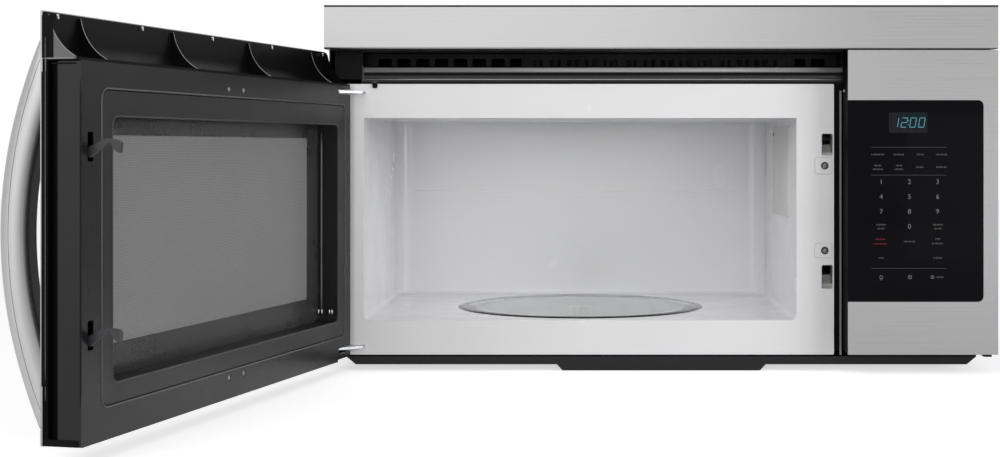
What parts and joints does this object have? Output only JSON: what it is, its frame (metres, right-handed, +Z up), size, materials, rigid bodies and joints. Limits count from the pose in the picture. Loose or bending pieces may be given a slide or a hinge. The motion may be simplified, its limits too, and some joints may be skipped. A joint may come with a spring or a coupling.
{
  "type": "over the range microwave oven",
  "caption": "Wide over the range microwave oven, door open: stainless front, black touch panel, white cavity with turntable, latch, vent blower and filters.",
  "frame": {"origin": "middle of the flat rear face that meets the wall", "axes": "+Z up, +X to the right for a person who faces the oven, -Y out of the wall towards that person"},
  "size_m": [0.9442, 0.9467, 0.4165],
  "materials": {
    "stainless": "brushed along its length",
    "black_plastic": "fine satin",
    "dark_glass": "polished",
    "clear_glass": "polished",
    "clear_film": "polished",
    "enamel": "smooth baked enamel",
    "mica": "dull",
    "cover_paint": "satin powder coat",
    "pan_paint": "satin powder coat",
    "zinc_steel": "plain zinc coating",
    "aluminium": "plain",
    "white_plastic": "plain moulded",
    "grey_plastic": "plain moulded",
    "latch_plastic": "smooth moulded",
    "spring_steel": "drawn wire",
    "rubber": "plain",
    "coil_paint": "varnished windings",
    "board": "lacquered",
    "carbon": "granular",
    "screen_steel": "black coating"
  },
  "bodies": {
    "housing": {"outer_cover": "cover_paint", "rear_panel": "zinc_steel", "base_plate": "pan_paint", "compartment_floor": "zinc_steel", "top_band": "stainless", "vent_housing": "black_plastic", "vent_louvre": "black_plastic", "hinge_filler": "black_plastic", "oven_front_frame": "enamel", "oven_liner": "enamel", "turntable_well": "enamel", "waveguide_cover": "mica", "waveguide": "zinc_steel", "magnetron": "aluminium", "turntable_motor": "zinc_steel", "upper_hinge": "zinc_steel", "lower_hinge": "zinc_steel", "hinge_pins": "zinc_steel", "latch_bracket": "white_plastic", "interlock_switches": "grey_plastic", "control_face": "stainless", "control_glass": "dark_glass", "control_housing": "black_plastic", "display_module": "black_plastic", "control_board": "board", "charcoal_filter": "carbon", "lamp_lens": "clear_glass", "task_lamps": "zinc_steel", "oven_lamp": "zinc_steel", "blower_housing": "zinc_steel", "blower_motor": "cover_paint", "fan_shroud": "zinc_steel", "fan_motor": "coil_paint", "transformer": "coil_paint", "capacitor": "aluminium", "cord_grommet": "rubber"},
    "door": {"door_front_panel": "stainless", "door_window_glass": "dark_glass", "door_carrier": "black_plastic", "door_inner_frame": "screen_steel", "choke_frame": "screen_steel", "choke_cover": "black_plastic", "mesh_screen": "screen_steel", "inner_window": "clear_film", "air_deflector": "black_plastic", "door_handle": "stainless", "latch_guides": "white_plastic", "hinge_bushes": "white_plastic"},
    "latch": {"latch_bar": "latch_plastic", "latch_spring": "spring_steel"},
    "tray_drive": {"turntable_coupler": "white_plastic"},
    "tray": {"glass_tray": "clear_glass"},
    "ring": {"roller_ring": "white_plastic"},
    "roller_1": {"tray_roller_1": "white_plastic"},
    "roller_2": {"tray_roller_2": "white_plastic"},
    "roller_3": {"tray_roller_3": "white_plastic"},
    "left_filter": {"grease_filter_left": "aluminium"},
    "right_filter": {"grease_filter_right": "aluminium"},
    "blower_wheels": {"blower_rotor": "aluminium"},
    "fan": {"cooling_fan": "grey_plastic"}
  },
  "joints": [
    {"name": "door_hinge", "type": "hinge", "parent": "housing", "child": "door", "pos_m": [-0.3675, -0.383, 0], "axis": [0, 0, 1], "range_deg": [0, 103.4]},
    {"name": "latch_slide", "type": "slide", "parent": "door", "child": "latch", "axis": [0, 0, 1], "range_m": [0, 0.008], "stiffness_N_per_m": 250, "springref_m": -0.008, "deforming": ["latch_spring"]},
    {"name": "tray_spin", "type": "hinge", "parent": "housing", "child": "tray_drive", "pos_m": [-0.0912, -0.194, -0.1709], "axis": [0, 0, 1], "continuous": true},
    {"name": "tray_lift", "type": "slide", "parent": "tray_drive", "child": "tray", "axis": [0, 0, 1], "range_m": [0, 0.06]},
    {"name": "ring_spin", "type": "hinge", "parent": "housing", "child": "ring", "pos_m": [-0.0912, -0.194, -0.1646], "axis": [0, 0, 1], "continuous": true},
    {"name": "roller_1_spin", "type": "hinge", "parent": "ring", "child": "roller_1", "pos_m": [0.0032, -0.1395, -0.1646], "axis": [0.866, 0.5, 0], "continuous": true},
    {"name": "roller_2_spin", "type": "hinge", "parent": "ring", "child": "roller_2", "pos_m": [-0.1856, -0.1395, -0.1646], "axis": [-0.866, 0.5, 0], "continuous": true},
    {"name": "roller_3_spin", "type": "hinge", "parent": "ring", "child": "roller_3", "pos_m": [-0.0912, -0.303, -0.1646], "axis": [0, -1, 0], "continuous": true},
    {"name": "left_filter_drop", "type": "slide", "parent": "housing", "child": "left_filter", "axis": [0, 0, -1], "range_m": [0, 0.04]},
    {"name": "right_filter_drop", "type": "slide", "parent": "housing", "child": "right_filter", "axis": [0, 0, -1], "range_m": [0, 0.04]},
    {"name": "blower_spin", "type": "hinge", "parent": "housing", "child": "blower_wheels", "pos_m": [0, -0.078, 0.14], "axis": [1, 0, 0], "continuous": true},
    {"name": "fan_spin", "type": "hinge", "parent": "housing", "child": "fan", "pos_m": [0.288, -0.052, -0.03], "axis": [0, 1, 0], "continuous": true}
  ],
  "couplings": [
    {"joint": "ring_spin", "follows": "tray_spin", "ratio": 0.5},
    {"joint": "roller_1_spin", "follows": "tray_spin", "ratio": -8.6508},
    {"joint": "roller_2_spin", "follows": "tray_spin", "ratio": -8.6508},
    {"joint": "roller_3_spin", "follows": "tray_spin", "ratio": -8.6508}
  ]
}
